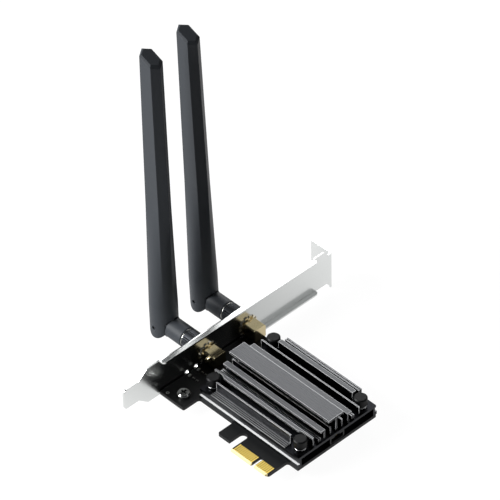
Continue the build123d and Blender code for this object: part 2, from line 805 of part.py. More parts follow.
def make_blade():
    """A blade that blends from a round fork into a hexagon with a slanted, bevelled tip."""
    tall = blade_height + tip_half_depth
    throat = hexagon(neck_top, neck_half_depth, neck_half_width, neck_flat_half)
    tip = hexagon(tall, tip_half_depth, tip_half_width, tip_flat_half)
    neck = loft([foot_circle(foot_top), throat], ruled=True)
    shaft = loft([throat, tip], ruled=True)
    slant = radians(tip_slant)
    up = Vector(sin(slant), 0, cos(slant))
    level = blade_height * cos(slant)
    side_run = tip_half_depth - tip_flat_half
    side_length = hypot(side_run, tip_half_width)
    side_normal = (tip_half_width / side_length, side_run / side_length)
    side_distance = tip_half_depth * side_normal[0]
    cuts = [(up, level)]
    for sign in (1, -1):
        cuts.append((up + Vector(0, sign, 0), level + tip_half_width - tip_bevel))
        for end in (1, -1):
            outward = Vector(end * side_normal[0], sign * side_normal[1], 0)
            cuts.append((up + outward, level + side_distance - tip_bevel))
    for normal, distance in cuts:
        origin = (0, 0, distance / normal.Z)
        wide = 8 * tip_half_depth
        waste = Box(wide, wide, wide / 2, align=(Align.CENTER, Align.CENTER, Align.MIN))
        shaft -= Plane(origin=origin, z_dir=normal) * waste
    foot = post(0, 0, -2 * ear_radius, foot_top, 2 * foot_radius)
    reach = 2 * foot_radius
    foot &= along_y(span(-reach, reach, 0, foot_top) + Circle(ear_radius), -reach, reach)
    arch = elbow_diameter / 2 + knuckle_clearance
    eye = span(-reach, reach, -reach, 0) + Circle(tongue_eye_radius + knuckle_clearance)
    slab = span(-fork_half_gap, fork_half_gap, -reach, reach)
    foot -= along_y(eye, -fork_half_gap, fork_half_gap)
    foot -= along_x(slab & Circle(arch), 0, reach)
    slot_width = radiator_width + 2 * radiator_clearance
    slot_depth = radiator_thickness + 2 * radiator_clearance
    slot_top = radiator_start + radiator_length + radiator_end_gap
    slot = along_z(Rectangle(slot_width, slot_depth), 0, slot_top)
    hole = hinge_pin_diameter / 2 + hinge_press_gap
    foot -= along_y(Circle(hole), -reach, reach)
    return (foot - slot) + (neck - slot) + (shaft - slot)


def make_hinge_pin():
    """A plain pin that ends a little below the ears' faces."""
    half = foot_radius - hinge_pin_recess
    return along_y(Circle(hinge_pin_diameter / 2), -half, half)


def make_radiator():
    """The strip that radiates, held by its edges in the blade's slot."""
    strip = Rectangle(radiator_width, radiator_thickness)
    return along_z(strip, radiator_start, radiator_start + radiator_length)


pieces = {}
pieces["board"] = make_board()
pieces["edge_contacts_front"] = make_contacts(1)
pieces["edge_contacts_back"] = make_contacts(-1)
pieces["bracket"] = make_bracket()
pieces["bracket_screw"] = make_bracket_screw()
pieces["heat_sink"] = make_heat_sink()

push_pin = make_push_pin()
spring = make_spring()
pieces["push_pins"] = Compound([Pos(x, y) * push_pin for x, y in pin_places])
pieces["push_pin_springs"] = Compound([Pos(x, y) * spring for x, y in pin_places])

carrier, can, radio, pad = make_module()
pieces["radio_module_board"] = carrier
pieces["radio_shield_can"] = can
pieces["radio_chip"] = radio
pieces["thermal_pad"] = pad

header, header_pins = make_header()
pieces["header_socket"] = header
pieces["header_pins"] = header_pins

pieces["status_lights"] = Compound([make_light(y) for y in light_hole_y])
resistor_ys = [y + light_offset_y for y in light_hole_y]
resistor_places = [(x, y) for x in resistor_xs for y in resistor_ys]
resistors = [chip(*place, resistor_length, resistor_width, resistor_height) for place in resistor_places]
pieces["chip_resistors"] = Compound(resistors)
row = [sink_centre_y + (i - (capacitor_count - 1) / 2) * capacitor_pitch for i in range(capacitor_count)]
capacitors = [chip(capacitor_x, y, capacitor_length, capacitor_width, capacitor_height) for y in row]
pieces["chip_capacitors"] = Compound(capacitors)
regulator_size = (regulator_length, regulator_width, regulator_height)
pieces["voltage_regulator"] = chip(regulator_x, regulator_y, *regulator_size)
pieces["power_inductor"] = chip(inductor_x, inductor_y, inductor_size, inductor_size, inductor_height)
pieces["clock_crystal"] = chip(crystal_x, crystal_y, crystal_length, crystal_width, crystal_height)

nut, ferrule, plug_bush, plug_socket = make_plug()
elbow = make_elbow()
blade = make_blade()
hinge_pin = make_hinge_pin()
radiator = make_radiator()
for name, y, swivel, tilt in (
    ("near", connector_near_y, swivel_near, tilt_near),
    ("far", connector_far_y, swivel_far, tilt_far),
):
    shell, bush, centre_pin, washer, hex_nut = make_connector(y)
    pieces["connector_shell_" + name] = shell
    pieces["connector_insulator_" + name] = bush
    pieces["connector_centre_pin_" + name] = centre_pin
    pieces["lock_washer_" + name] = washer
    pieces["hex_nut_" + name] = hex_nut
    on_axis = Pos(0, y, axis_z)
    turn = on_axis * Rot(X=swivel)
    lean = turn * Pos(hinge_x, 0, 0) * Rot(Y=-tilt)
    pieces["coupling_nut_" + name] = on_axis * nut
    pieces["antenna_ferrule_" + name] = on_axis * ferrule
    pieces["plug_insulator_" + name] = on_axis * plug_bush
    pieces["plug_socket_" + name] = on_axis * plug_socket
    pieces["antenna_elbow_" + name] = turn * elbow
    pieces["antenna_blade_" + name] = lean * blade
    pieces["hinge_pin_" + name] = lean * hinge_pin
    pieces["radiator_" + name] = lean * radiator

os.makedirs("parts", exist_ok=True)
for name, piece in pieces.items():
    export_step(piece, "parts/" + name + ".step")
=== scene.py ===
# %% [markdown]
# # A wireless network card, dressed for a studio picture
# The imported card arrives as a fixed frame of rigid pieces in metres. This lesson gives each piece
# its finish, adds the fine turned and soldered detail that is too small for the solids, and sets
# up a white studio with the camera where the photograph was taken from.

# %% The frame
import bmesh
import bpy
import json
import numpy as np
from math import cos, radians, sin
from mathutils import Matrix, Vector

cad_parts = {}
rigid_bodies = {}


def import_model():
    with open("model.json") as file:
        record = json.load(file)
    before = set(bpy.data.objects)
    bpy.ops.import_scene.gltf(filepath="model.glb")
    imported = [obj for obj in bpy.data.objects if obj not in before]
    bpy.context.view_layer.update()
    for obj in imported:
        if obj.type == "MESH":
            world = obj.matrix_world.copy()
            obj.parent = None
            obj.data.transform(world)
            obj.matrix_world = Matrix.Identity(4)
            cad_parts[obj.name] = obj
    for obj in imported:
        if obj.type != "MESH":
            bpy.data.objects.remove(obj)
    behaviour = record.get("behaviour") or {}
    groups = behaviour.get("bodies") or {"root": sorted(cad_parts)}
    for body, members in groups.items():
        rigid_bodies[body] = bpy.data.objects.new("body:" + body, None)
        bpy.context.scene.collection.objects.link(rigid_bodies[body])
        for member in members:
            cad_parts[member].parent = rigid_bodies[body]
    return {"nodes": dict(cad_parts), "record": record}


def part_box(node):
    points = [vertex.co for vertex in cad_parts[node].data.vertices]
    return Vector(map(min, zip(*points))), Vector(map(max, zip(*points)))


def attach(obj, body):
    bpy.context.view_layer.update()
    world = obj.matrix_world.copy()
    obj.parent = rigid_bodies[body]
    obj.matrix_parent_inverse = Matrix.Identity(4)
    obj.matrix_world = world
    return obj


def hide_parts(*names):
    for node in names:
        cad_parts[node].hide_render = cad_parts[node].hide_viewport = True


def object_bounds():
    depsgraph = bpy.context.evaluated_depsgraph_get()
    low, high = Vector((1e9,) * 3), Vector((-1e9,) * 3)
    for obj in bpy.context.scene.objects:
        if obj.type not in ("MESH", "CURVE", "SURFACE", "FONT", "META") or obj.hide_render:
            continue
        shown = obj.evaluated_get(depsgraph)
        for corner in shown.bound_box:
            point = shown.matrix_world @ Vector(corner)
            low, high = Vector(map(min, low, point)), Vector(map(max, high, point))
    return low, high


for thing in list(bpy.data.objects):
    bpy.data.objects.remove(thing)
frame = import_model()
cad_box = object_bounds()
MM = 0.001
print("CAD box in mm:", [[round(v / MM, 2) for v in corner] for corner in cad_box])

# %% [markdown]
# ## Colour and nodes
# Colours are picked as sRGB hex values, as a paint program shows them, and Blender's shaders want
# linear light, so one function converts them. One more function adds a shader node, sets it and
# wires it, which keeps every finish below to a few readable lines.

# %% Helpers for finishes
COLOUR_A = 6             # a Mix node's colour sockets go by number, because their names repeat
COLOUR_B = 7
COLOUR_OUT = 2


def linear(colour):
    """sRGB hex to linear RGBA: each channel is raised by the sRGB curve."""
    channels = [int(colour[i:i + 2], 16) / 255 for i in (1, 3, 5)]
    return [c / 12.92 if c <= 0.04045 else ((c + 0.055) / 1.055) ** 2.4 for c in channels] + [1.0]


def add(tree, kind, inputs=None, **settings):
    """One node of this kind; an input is a plain value, or another node's output to link."""
    node = tree.nodes.new(kind)
    for key, value in settings.items():
        setattr(node, key, value)
    for key, value in (inputs or {}).items():
        if isinstance(value, bpy.types.NodeSocket):
            tree.links.new(value, node.inputs[key])
        else:
            node.inputs[key].default_value = value
    return node


def per_mm(size):
    """A texture scale that makes one cell of a pattern this many millimetres wide."""
    return 1 / (size * MM)


def start(name):
    """An empty material, its node tree and its object coordinates."""
    material = bpy.data.materials.new(name)
    material.use_nodes = True
    tree = material.node_tree
    tree.nodes.clear()
    place = add(tree, "ShaderNodeTexCoord").outputs["Object"]
    return material, tree, place


finishes = {}
print("mid grey in linear light:", round(linear("#808080")[0], 3))

# %% [markdown]
# ## Satin charcoal ABS of the antennas
# The blades and elbows are injection moulded in a mould with a fine spark-eroded texture. The eye
# sees a soft, broad highlight and no sparkle. A picture of the texture would need a map wrapped
# round the blade, so noise at the grit's size gives the bump instead, and a wide noise lets the
# gloss drift a little, as it does on real mouldings. A Bevel node rounds the corners' shading.

# %% Antenna plastic
ABS_CHARCOAL = "#34373b"
ABS_GRIT = 0.35          # drawn about three times as coarse as the real grit, so that it shows
ABS_DRIFT = 18.0
ABS_ROUGHNESS = (0.40, 0.50)
ABS_SHINE = 0.12
ABS_RELIEF = 0.03
ABS_BUMP = 0.12
ABS_CORNER = 0.40
PLASTIC_IOR = 1.5
CORNER_SAMPLES = 10
PLAIN_DETAIL = 2.0
RICH_DETAIL = 3.0
material, tree, place = start("satin charcoal ABS")
grit = add(tree, "ShaderNodeTexNoise", {
    "Vector": place, "Scale": per_mm(ABS_GRIT), "Detail": PLAIN_DETAIL})
drift = add(tree, "ShaderNodeTexNoise", {
    "Vector": place, "Scale": per_mm(ABS_DRIFT), "Detail": RICH_DETAIL})
gloss = add(tree, "ShaderNodeMapRange", {
    "Value": drift.outputs["Fac"], "To Min": ABS_ROUGHNESS[0], "To Max": ABS_ROUGHNESS[1]})
rounded = add(tree, "ShaderNodeBevel", {"Radius": ABS_CORNER * MM}, samples=CORNER_SAMPLES)
bump = add(tree, "ShaderNodeBump", {
    "Height": grit.outputs["Fac"], "Strength": ABS_BUMP, "Distance": ABS_RELIEF * MM,
    "Normal": rounded.outputs["Normal"]})
shader = add(tree, "ShaderNodeBsdfPrincipled", {
    "Base Color": linear(ABS_CHARCOAL), "Roughness": gloss.outputs["Result"], "IOR": PLASTIC_IOR,
    "Specular IOR Level": ABS_SHINE, "Normal": bump.outputs["Normal"]})
add(tree, "ShaderNodeOutputMaterial", {"Surface": shader.outputs[0]})
finishes["antenna_plastic"] = material
print("finish:", material.name)

# %% [markdown]
# ## Black anodised extrusion
# The heat sink was pushed through a die, so fine lines run along its length, and then anodised.
# Its upward flat tops carry a painted sheen: they are painted grey, as if lit from above, and
# their corners are painted paler as painted highlights. The walls and floors between the fins stay
# as the die left them, nearly black. The corners of the fins, the tops of the low ridges and the
# tops of the feet are painted pale: on the corners this is partly edge wear and partly painted
# highlight, on the low tops it is painted highlight. Painting these by hand would take a map of the
# whole extrusion. A face's direction and its height above the base plate tell them apart just as
# well, and a Bevel node finds the corners: there its rounded normal parts from the true one.

# %% Where the heat sink gets painted sheen, painted highlights or stays black
BASE_PLATE_TOP = 5.15            # above the board; the levels below are above the base plate
UPWARD = (0.3, 0.8)
ABOVE_FLOOR = (0.15, 0.30)
CLEAR_OF_FLOOR = (0.20, 0.30)
ABOVE_RIDGES = (0.65, 0.75)
BELOW_PLATE = -1.0
# share of the painted highlight on the low ridge tops; the feet get it in full
RIDGE_HIGHLIGHT_SHARE = 0.28
RIDGE_CORNERS = 0.55
CORNER_RADIUS = 0.34
CORNER_TURN = (0.98, 0.88)       # cosine of the corner's turn where the wear and the painted highlight start and are full
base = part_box("board")[1][2] + BASE_PLATE_TOP * MM
material, tree, place = start("black anodised aluminium extrusion")
normal = add(tree, "ShaderNodeTexCoord").outputs["Normal"]
facing = add(tree, "ShaderNodeSeparateXYZ", {"Vector": normal})
upward = add(tree, "ShaderNodeMapRange", {
    "Value": facing.outputs["Z"], "From Min": UPWARD[0], "From Max": UPWARD[1]}).outputs["Result"]
level = add(tree, "ShaderNodeSeparateXYZ", {"Vector": place})
height = add(tree, "ShaderNodeMath", {0: level.outputs["Z"], 1: base}, operation="SUBTRACT").outputs[0]
apart = add(tree, "ShaderNodeMath", {0: height}, operation="ABSOLUTE").outputs[0]
raised = add(tree, "ShaderNodeMapRange", {
    "Value": height, "From Min": ABOVE_FLOOR[0] * MM, "From Max": ABOVE_FLOOR[1] * MM}).outputs["Result"]
tall = add(tree, "ShaderNodeMapRange", {
    "Value": height, "From Min": ABOVE_RIDGES[0] * MM, "From Max": ABOVE_RIDGES[1] * MM}).outputs["Result"]
clear = add(tree, "ShaderNodeMapRange", {
    "Value": apart, "From Min": CLEAR_OF_FLOOR[0] * MM, "From Max": CLEAR_OF_FLOOR[1] * MM}).outputs["Result"]
rounded = add(tree, "ShaderNodeBevel", {"Radius": CORNER_RADIUS * MM}, samples=CORNER_SAMPLES)
true_normal = add(tree, "ShaderNodeNewGeometry").outputs["Normal"]
same = add(tree, "ShaderNodeVectorMath", {
    0: rounded.outputs["Normal"], 1: true_normal}, operation="DOT_PRODUCT")
edge = add(tree, "ShaderNodeMapRange", {
    "Value": same.outputs["Value"], "From Min": CORNER_TURN[0], "From Max": CORNER_TURN[1]}).outputs["Result"]
fade = add(tree, "ShaderNodeMapRange", {
    "Value": tall, "To Min": RIDGE_CORNERS, "To Max": 1.0}).outputs["Result"]
corner = add(tree, "ShaderNodeMath", {0: edge, 1: fade}, operation="MULTIPLY").outputs[0]
# corners above the base plate: partly edge wear, partly painted highlight
wear_and_edge_highlight = add(tree, "ShaderNodeMath", {0: corner, 1: raised}, operation="MULTIPLY").outputs[0]
# painted sheen: upward faces above the low ridges are painted grey, as if lit from above
painted_top_sheen = add(tree, "ShaderNodeMath", {0: upward, 1: tall}, operation="MULTIPLY").outputs[0]
low_top = add(tree, "ShaderNodeMath", {0: upward, 1: tall}, operation="SUBTRACT").outputs[0]
open_top = add(tree, "ShaderNodeMath", {0: low_top, 1: clear}, operation="MULTIPLY").outputs[0]
low_top_highlight_share = add(tree, "ShaderNodeMapRange", {
    "Value": height, "From Min": BELOW_PLATE * MM, "From Max": 0.0,
    "To Min": 1.0, "To Max": RIDGE_HIGHLIGHT_SHARE}).outputs["Result"]
# painted highlight on the upward tops of the low ridges and the feet
painted_low_top_highlight = add(tree, "ShaderNodeMath", {0: open_top, 1: low_top_highlight_share}, operation="MULTIPLY").outputs[0]
wear_and_painted_highlight = add(tree, "ShaderNodeMath", {0: wear_and_edge_highlight, 1: painted_low_top_highlight}, operation="MAXIMUM").outputs[0]
print("base plate of the heat sink at z =", round(base / MM, 2), "mm")

# %% Heat sink
# painted sheen grey on the tops, painted highlight pale on their corners, and the pale of edge wear and
# painted highlight elsewhere; the walls keep the anodised black
PAINTED_SHEEN_GREY = "#5f6062"
PAINTED_HIGHLIGHT_PALE = "#d6d7d9"
WALL_BLACK = "#26272a"
WEAR_AND_HIGHLIGHT_PALE = "#eeeff0"
DIE_LINE = 0.22
DIE_STRETCH = 0.01
DIE_RELIEF = 0.02
DIE_BUMP = 0.03
SINK_ROUGHNESS = (0.24, 0.32)
stretch = add(tree, "ShaderNodeMapping", {"Vector": place, "Scale": (DIE_STRETCH, 1.0, 1.0)})
lines = add(tree, "ShaderNodeTexNoise", {
    "Vector": stretch.outputs["Vector"], "Scale": per_mm(DIE_LINE), "Detail": RICH_DETAIL})
gloss = add(tree, "ShaderNodeMapRange", {
    "Value": lines.outputs["Fac"], "To Min": SINK_ROUGHNESS[0], "To Max": SINK_ROUGHNESS[1]})
top = add(tree, "ShaderNodeMix", {
    "Factor": wear_and_edge_highlight, COLOUR_A: linear(PAINTED_SHEEN_GREY), COLOUR_B: linear(PAINTED_HIGHLIGHT_PALE)}, data_type="RGBA")
wall = add(tree, "ShaderNodeMix", {
    "Factor": wear_and_painted_highlight, COLOUR_A: linear(WALL_BLACK), COLOUR_B: linear(WEAR_AND_HIGHLIGHT_PALE)}, data_type="RGBA")
colour = add(tree, "ShaderNodeMix", {
    "Factor": painted_top_sheen, COLOUR_A: wall.outputs[COLOUR_OUT], COLOUR_B: top.outputs[COLOUR_OUT]},
    data_type="RGBA")
# where the painted highlights lie the surface is no longer metal, so it shows as a plain pale line
painted_pale_share = add(tree, "ShaderNodeMath", {0: wear_and_painted_highlight, 1: painted_top_sheen}, operation="SUBTRACT")
shine = add(tree, "ShaderNodeMapRange", {"Value": painted_pale_share.outputs[0], "To Min": 1.0, "To Max": 0.0})
bump = add(tree, "ShaderNodeBump", {
    "Height": lines.outputs["Fac"], "Strength": DIE_BUMP, "Distance": DIE_RELIEF * MM})
shader = add(tree, "ShaderNodeBsdfPrincipled", {
    "Base Color": colour.outputs[COLOUR_OUT], "Metallic": shine.outputs["Result"],
    "Roughness": gloss.outputs["Result"], "Normal": bump.outputs["Normal"]})
add(tree, "ShaderNodeOutputMaterial", {"Surface": shader.outputs[0]})
finishes["black_anodised"] = material
print("finish:", material.name)

# %% [markdown]
# ## Solder mask on glass laminate
# The board is black, and nearly matt. The bevel along the contact edge is ground after plating,
# so bare cream laminate shows there. It could be a piece of its own, but a step on the height
# above the contact edge paints it with one node and leaves the solid whole.

# %% Board
MASK_BLACK = "#141516"
BARE_LAMINATE = "#ecdca6"
BEVEL_HEIGHT = 0.83
MASK_PEEL = 0.5
MASK_CLOUD = 9.0
MASK_ROUGHNESS = (0.42, 0.56)
MASK_SHINE = 0.25
MASK_BUMP = 0.10
FINE_RELIEF = 0.02
material, tree, place = start("matt black solder mask")
axes = add(tree, "ShaderNodeSeparateXYZ", {"Vector": place})
ground_off = add(tree, "ShaderNodeMath", {0: axes.outputs["Y"], 1: BEVEL_HEIGHT * MM}, operation="LESS_THAN")
peel = add(tree, "ShaderNodeTexNoise", {
    "Vector": place, "Scale": per_mm(MASK_PEEL), "Detail": PLAIN_DETAIL})
cloud = add(tree, "ShaderNodeTexNoise", {
    "Vector": place, "Scale": per_mm(MASK_CLOUD), "Detail": PLAIN_DETAIL})
gloss = add(tree, "ShaderNodeMapRange", {
    "Value": cloud.outputs["Fac"], "To Min": MASK_ROUGHNESS[0], "To Max": MASK_ROUGHNESS[1]})
colour = add(tree, "ShaderNodeMix", {
    "Factor": ground_off.outputs[0], COLOUR_A: linear(MASK_BLACK), COLOUR_B: linear(BARE_LAMINATE)},
    data_type="RGBA")
bump = add(tree, "ShaderNodeBump", {
    "Height": peel.outputs["Fac"], "Strength": MASK_BUMP, "Distance": FINE_RELIEF * MM})
shader = add(tree, "ShaderNodeBsdfPrincipled", {
    "Base Color": colour.outputs[COLOUR_OUT], "Roughness": gloss.outputs["Result"], "IOR": PLASTIC_IOR,
    "Specular IOR Level": MASK_SHINE, "Normal": bump.outputs["Normal"]})
add(tree, "ShaderNodeOutputMaterial", {"Surface": shader.outputs[0]})
finishes["solder_mask"] = material
print("finish:", material.name)

# %% [markdown]
# ## Metals
# Plated and bare metals differ in colour, in how sharp their reflections are, and in the marks of
# how they were made: rolled sheet has faint streaks, and plating has a mild unevenness. Each is a
# metal with a noise stretched along its own direction. Recesses get painted shade: the Ambient
# Occlusion node finds them on the piece itself, and the colour is darkened there. One function
# makes all of them, because they differ only in these few numbers.

# %% Metals
RECESS_REACH = 1.0
RECESS_SAMPLES = 8
RECESS_OPENNESS = (0.45, 0.9)
EVEN = (1, 1, 1)
ROLLED = (1, 0.04, 1)
WIPED = (1, 0.2, 1)


def metal(slot, name, colour, rough, cell, strength, edge, stretch=EVEN, recess_shade_share=0.75):
    """A metal whose gloss and relief follow a noise, with painted shade in recesses down to this share of its
    colour.
    """
    material, tree, place = start(name)
    mapped = add(tree, "ShaderNodeMapping", {"Vector": place, "Scale": stretch})
    marks = add(tree, "ShaderNodeTexNoise", {
        "Vector": mapped.outputs["Vector"], "Scale": per_mm(cell), "Detail": RICH_DETAIL})
    gloss = add(tree, "ShaderNodeMapRange", {
        "Value": marks.outputs["Fac"], "To Min": rough[0], "To Max": rough[1]})
    rounded = add(tree, "ShaderNodeBevel", {"Radius": edge * MM}, samples=CORNER_SAMPLES)
    bump = add(tree, "ShaderNodeBump", {
        "Height": marks.outputs["Fac"], "Strength": strength, "Distance": FINE_RELIEF * MM,
        "Normal": rounded.outputs["Normal"]})
    # painted shade: the colour darkens where Ambient Occlusion finds a recess on the piece
    shade = add(tree, "ShaderNodeAmbientOcclusion", {"Distance": RECESS_REACH * MM},
                samples=RECESS_SAMPLES, only_local=True)
    unshaded_share = add(tree, "ShaderNodeMapRange", {
        "Value": shade.outputs["AO"], "From Min": RECESS_OPENNESS[0], "From Max": RECESS_OPENNESS[1]})
    bright = linear(colour)
    dim = [recess_shade_share * channel for channel in bright[:3]] + [1.0]
    tone = add(tree, "ShaderNodeMix", {
        "Factor": unshaded_share.outputs["Result"], COLOUR_A: dim, COLOUR_B: bright}, data_type="RGBA")
    shader = add(tree, "ShaderNodeBsdfPrincipled", {
        "Base Color": tone.outputs[COLOUR_OUT], "Metallic": 1.0, "Roughness": gloss.outputs["Result"],
        "Normal": bump.outputs["Normal"]})
    add(tree, "ShaderNodeOutputMaterial", {"Surface": shader.outputs[0]})
    finishes[slot] = material


metal("nickel_steel", "bright nickel plated sheet steel", "#e4e6e5",
      rough=(0.22, 0.26), cell=0.6, strength=0.012, edge=0.15, stretch=ROLLED)
metal("gold_plate", "hard gold plate", "#e4c766",
      rough=(0.24, 0.36), cell=0.5, strength=0.05, edge=0.03, stretch=WIPED)
metal("gold_shell", "pale gold plated brass", "#ead9ae",
      rough=(0.10, 0.18), cell=0.4, strength=0.05, edge=0.12, recess_shade_share=0.55)
metal("washer_steel", "pale gold plated spring washer", "#f2ead6",
      rough=(0.14, 0.22), cell=0.4, strength=0.05, edge=0.06, recess_shade_share=0.95)
metal("screw_steel", "nickel plated screw", "#c4c5c3",
      rough=(0.16, 0.26), cell=0.3, strength=0.06, edge=0.10, recess_shade_share=0.10)
metal("spring_steel", "bright spring wire", "#d0d1d2",
      rough=(0.18, 0.28), cell=0.3, strength=0.03, edge=0.03)
metal("shield_steel", "bright tin", "#c4c5c2",
      rough=(0.28, 0.40), cell=0.8, strength=0.05, edge=0.08)
metal("dark_nickel", "black nickel plated brass", "#323437",
      rough=(0.44, 0.56), cell=0.4, strength=0.05, edge=0.06)
metal("bright_nickel", "bright nickel plated brass", "#d9d8d3",
      rough=(0.12, 0.20), cell=0.4, strength=0.04, edge=0.06)
metal("pin_steel", "dark steel pin", "#6b6c6e",
      rough=(0.30, 0.42), cell=0.3, strength=0.05, edge=0.05)
print("finishes so far:", len(finishes))

# %% [markdown]
# ## Plastics, resin and ceramic
# Small moulded and fired parts have one plain colour, a soft gloss and a faint grain. What tells
# them apart is how glossy they are, so one function makes them all, and each gets its own gloss
# range and grain size.

# %% Plastics
def moulding(slot, name, colour, rough, shine, grain, strength, edge):
    """A moulded or fired material with a fine grain that also shifts its gloss."""
    material, tree, place = start(name)
    specks = add(tree, "ShaderNodeTexNoise", {
        "Vector": place, "Scale": per_mm(grain), "Detail": PLAIN_DETAIL})
    gloss = add(tree, "ShaderNodeMapRange", {
        "Value": specks.outputs["Fac"], "To Min": rough[0], "To Max": rough[1]})
    rounded = add(tree, "ShaderNodeBevel", {"Radius": edge * MM}, samples=CORNER_SAMPLES)
    bump = add(tree, "ShaderNodeBump", {
        "Height": specks.outputs["Fac"], "Strength": strength, "Distance": FINE_RELIEF * MM,
        "Normal": rounded.outputs["Normal"]})
    shader = add(tree, "ShaderNodeBsdfPrincipled", {
        "Base Color": linear(colour), "Roughness": gloss.outputs["Result"], "IOR": PLASTIC_IOR,
        "Specular IOR Level": shine, "Normal": bump.outputs["Normal"]})
    add(tree, "ShaderNodeOutputMaterial", {"Surface": shader.outputs[0]})
    finishes[slot] = material


moulding("black_nylon", "black moulded nylon", "#090a0b",
         rough=(0.42, 0.55), shine=0.18, grain=0.3, strength=0.08, edge=0.25)
moulding("socket_plastic", "black moulded polyamide", "#17181a",
         rough=(0.36, 0.48), shine=0.35, grain=0.3, strength=0.10, edge=0.10)
moulding("chip_epoxy", "black moulded epoxy", "#202123",
         rough=(0.42, 0.55), shine=0.40, grain=0.15, strength=0.15, edge=0.04)
moulding("ceramic", "tan fired ceramic", "#a08160",
         rough=(0.38, 0.50), shine=0.45, grain=0.15, strength=0.10, edge=0.06)
moulding("ferrite", "pressed ferrite", "#3c3c3d",
         rough=(0.50, 0.65), shine=0.40, grain=0.2, strength=0.20, edge=0.20)
moulding("lamp_resin", "milky lamp resin", "#e9e9e4",
         rough=(0.18, 0.28), shine=0.50, grain=0.4, strength=0.03, edge=0.10)
moulding("white_insulator", "white fluoropolymer", "#f0efeb",
         rough=(0.34, 0.44), shine=0.40, grain=0.4, strength=0.04, edge=0.08)
moulding("silicone_pad", "grey filled silicone", "#8b919c",
         rough=(0.55, 0.70), shine=0.40, grain=0.4, strength=0.20, edge=0.20)
moulding("module_laminate", "dark green laminate", "#123a24",
         rough=(0.34, 0.46), shine=0.45, grain=0.5, strength=0.08, edge=0.04)
moulding("radiator_laminate", "dark green laminate strip", "#1d4a30",
         rough=(0.34, 0.46), shine=0.45, grain=0.5, strength=0.08, edge=0.04)

for part in frame["record"]["subparts"]:
    slots = frame["nodes"][part["node"]].data.materials
    slots.clear()
    slots.append(finishes[part["material_slot"]])

# %% [markdown]
# ## Turning a grid into a mesh
# Every added piece below is a surface over a grid: one parameter runs along a profile or a path,
# the other round it. numpy works out all points at once, and the faces join each point to its
# neighbours, with the last column joined to the first. Points that fall together, as at a pole,
# are merged, and the faces are turned outward. Blender's Screw modifier could also carry a profile
# round an axis, but a grid takes grooves, threads and coils by the same few lines.

# %% Grid surfaces
MERGE_DISTANCE = 0.0001
SHARP_ANGLE = 35.0
FULL_TURN = 2 * np.pi
body_of = {node: body for body, nodes in frame["record"]["behaviour"]["bodies"].items() for node in nodes}


def box_mm(node):
    """The low and high corners of a node's box, in millimetres."""
    return [np.array(corner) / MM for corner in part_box(node)]


def quads(rows, columns, ring):
    """Corner numbers of a grid's faces; columns wrap round, and rows wrap too where they form a ring."""
    last = rows if ring else rows - 1
    row, column = np.meshgrid(np.arange(last), np.arange(columns), indexing="ij")
    above = (row + 1) % rows
    beside = (column + 1) % columns
    corners = (row * columns + column, row * columns + beside,
               above * columns + beside, above * columns + column)
    return np.stack(corners, axis=-1).reshape(-1, 4)


def capped(grid):
    """The grid with a ring added at each end that is drawn in to its middle, which closes the end."""
    first = np.broadcast_to(grid[0].mean(axis=0), grid[0].shape)
    last = np.broadcast_to(grid[-1].mean(axis=0), grid[-1].shape)
    return np.concatenate([first[None], grid, last[None]])


def surface(name, grids, slot, body, ring=True, replaced=()):
    """One smooth-shaded piece made of one or more grids of points in millimetres, riding on a body."""
    points = np.concatenate([grid.reshape(-1, 3) for grid in grids]) * MM
    starts = np.cumsum([0] + [grid.shape[0] * grid.shape[1] for grid in grids[:-1]])
    faces = np.concatenate([quads(*grid.shape[:2], ring) + first for grid, first in zip(grids, starts)])
    mesh = bpy.data.meshes.new(name)
    mesh.from_pydata(points.tolist(), [], faces.tolist())
    shape = bmesh.new()
    shape.from_mesh(mesh)
    bmesh.ops.remove_doubles(shape, verts=shape.verts, dist=MERGE_DISTANCE * MM)
    bmesh.ops.recalc_face_normals(shape, faces=shape.faces)
    shape.to_mesh(mesh)
    shape.free()
    mesh.polygons.foreach_set("use_smooth", np.ones(len(mesh.polygons), dtype=bool))
    mesh.set_sharp_from_angle(angle=radians(SHARP_ANGLE))
    mesh.materials.append(finishes[slot])
    piece = bpy.data.objects.new(name, mesh)
    bpy.context.scene.collection.objects.link(piece)
    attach(piece, body)
    if replaced:
        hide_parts(*replaced)
    print(name, sum(len(face.vertices) - 2 for face in mesh.polygons), "triangles")


print("bodies:", sorted(set(body_of.values())))

# %% [markdown]
# ## Knurled coupling nuts
# The nut that clamps each antenna is turned brass, rolled between toothed wheels. Rolling presses
# straight grooves into the skin, and four plain lands are left for a spanner. A bump could fake
# the grooves, but they show at the nut's outline, so they are real. The surface is a profile along
# the axis, carried round it, with the grooves taken off its radius.

# %% Knurled nuts
KNURL_DEPTH = 0.36
KNURL_TEETH = 32
KNURL_STEP = 0.12
KNURL_RUNOUT = 0.3
KNURL_BLEND = 0.2
CREST_BREADTH = 1.6
POINTS_PER_TOOTH = 10
LAND_COUNT = 4
LAND_WIDTH = 26.0
LAND_FACING = 118.0
LAND_BLEND = 1.5
NUT_CHAMFER = 0.5
NUT_BORE = 6.42
NUT_LIP_BORE = 5.52
NUT_LIP = 0.8


def ridge(phase):
    """A triangle wave from 0 in the groove to 1 on the crest, once per unit of phase."""
    return 1 - np.abs(2 * (phase % 1) - 1)


